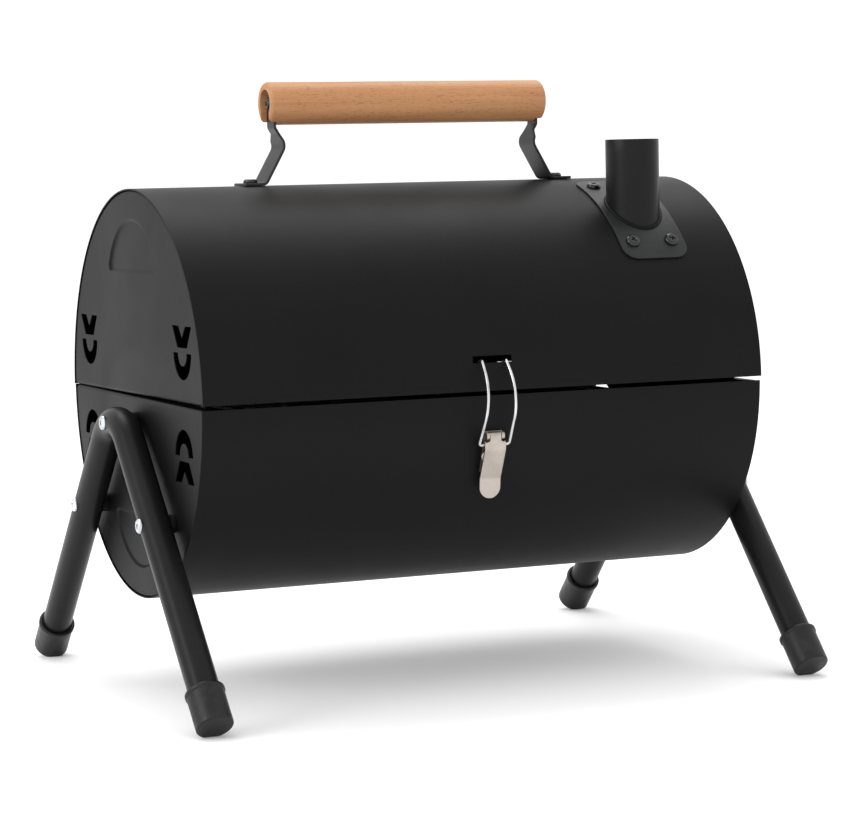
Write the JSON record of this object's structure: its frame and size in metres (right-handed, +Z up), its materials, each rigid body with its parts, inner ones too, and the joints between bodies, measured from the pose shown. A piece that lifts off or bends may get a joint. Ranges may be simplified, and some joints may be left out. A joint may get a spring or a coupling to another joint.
{
  "type": "barrel charcoal smoker",
  "caption": "Table-top barrel charcoal grill and smoker with a hinged lid, chimney, wooden handle, draw latch, bent-tube legs and lift-out grids.",
  "frame": {"origin": "on the table under the centre of the barrel", "axes": "+X along the barrel towards the chimney end, -Y the latch side (front), +Z up"},
  "size_m": [0.4836, 0.4012, 0.4365],
  "materials": {
    "black_paint": "matte heat-resistant black paint",
    "tube_paint": "satin black powder coat",
    "strap_paint": "satin dark grey paint",
    "wood": "light orange-tan hardwood, thin clear coat",
    "cap_plastic": "smooth black plastic",
    "zinc_screw": "bright zinc",
    "black_screw": "glossy black oxide",
    "latch_steel": "satin nickel plate",
    "chrome_wire": "chrome-plated wire",
    "grate_steel": "bare mild steel rod",
    "plain_steel": "zinc-plated steel"
  },
  "bodies": {
    "barrel": {"body_end_plate_left": "black_paint", "body_end_plate_right": "black_paint", "body_shell": "black_paint", "foot_cap_front_left": "cap_plastic", "foot_cap_front_right": "cap_plastic", "foot_cap_rear_left": "cap_plastic", "foot_cap_rear_right": "cap_plastic", "grate_ledges": "black_paint", "grid_ledges": "black_paint", "hinge_body_leaf_left": "black_paint", "hinge_body_leaf_right": "black_paint", "hinge_body_rivets": "black_paint", "hinge_pin_left": "plain_steel", "hinge_pin_right": "plain_steel", "latch_base": "latch_steel", "latch_pin": "latch_steel", "latch_rivets": "latch_steel", "leg_left": "tube_paint", "leg_nuts": "plain_steel", "leg_right": "tube_paint", "leg_screws": "zinc_screw", "leg_spacers": "plain_steel"},
    "latch_lever": {"latch_lever": "latch_steel"},
    "latch_bail": {"latch_bail": "latch_steel"},
    "cooking_grid": {"cooking_grid_bars": "chrome_wire", "cooking_grid_frame": "chrome_wire"},
    "charcoal_grate": {"charcoal_grate_bars": "grate_steel", "charcoal_grate_frame": "grate_steel"},
    "lid": {"chimney_nuts": "plain_steel", "chimney_pipe": "black_paint", "chimney_saddle": "black_paint", "chimney_screws": "black_screw", "handle_foot_nuts": "plain_steel", "handle_foot_screws": "black_screw", "handle_grip": "wood", "handle_grip_screws": "black_screw", "handle_strap_left": "strap_paint", "handle_strap_right": "strap_paint", "hinge_lid_leaf_left": "black_paint", "hinge_lid_leaf_right": "black_paint", "hinge_lid_rivets": "black_paint", "lid_end_plate_left": "black_paint", "lid_end_plate_right": "black_paint", "lid_shell": "black_paint"}
  },
  "joints": [
    {"name": "lid_hinge", "type": "hinge", "parent": "barrel", "child": "lid", "pos_m": [0, 0.151, 0.2145], "axis": [-1, 0, 0], "range_deg": [0, 177]},
    {"name": "latch_lever_pivot", "type": "hinge", "parent": "barrel", "child": "latch_lever", "pos_m": [0, -0.14677, 0.1845], "axis": [-1, 0, 0], "range_deg": [0, 150]},
    {"name": "latch_bail_pivot", "type": "hinge", "parent": "latch_lever", "child": "latch_bail", "pos_m": [0, -0.14575, 0.1782], "axis": [-1, 0, 0], "range_deg": [-187.5, 0]},
    {"name": "cooking_grid_lift", "type": "slide", "parent": "barrel", "child": "cooking_grid", "axis": [0, 0, 1], "range_m": [0, 0.05]},
    {"name": "charcoal_grate_lift", "type": "slide", "parent": "barrel", "child": "charcoal_grate", "axis": [0, 0, 1], "range_m": [0, 0.05]}
  ],
  "couplings": [
    {"joint": "latch_bail_pivot", "follows": "latch_lever_pivot", "ratio": -1.25}
  ]
}
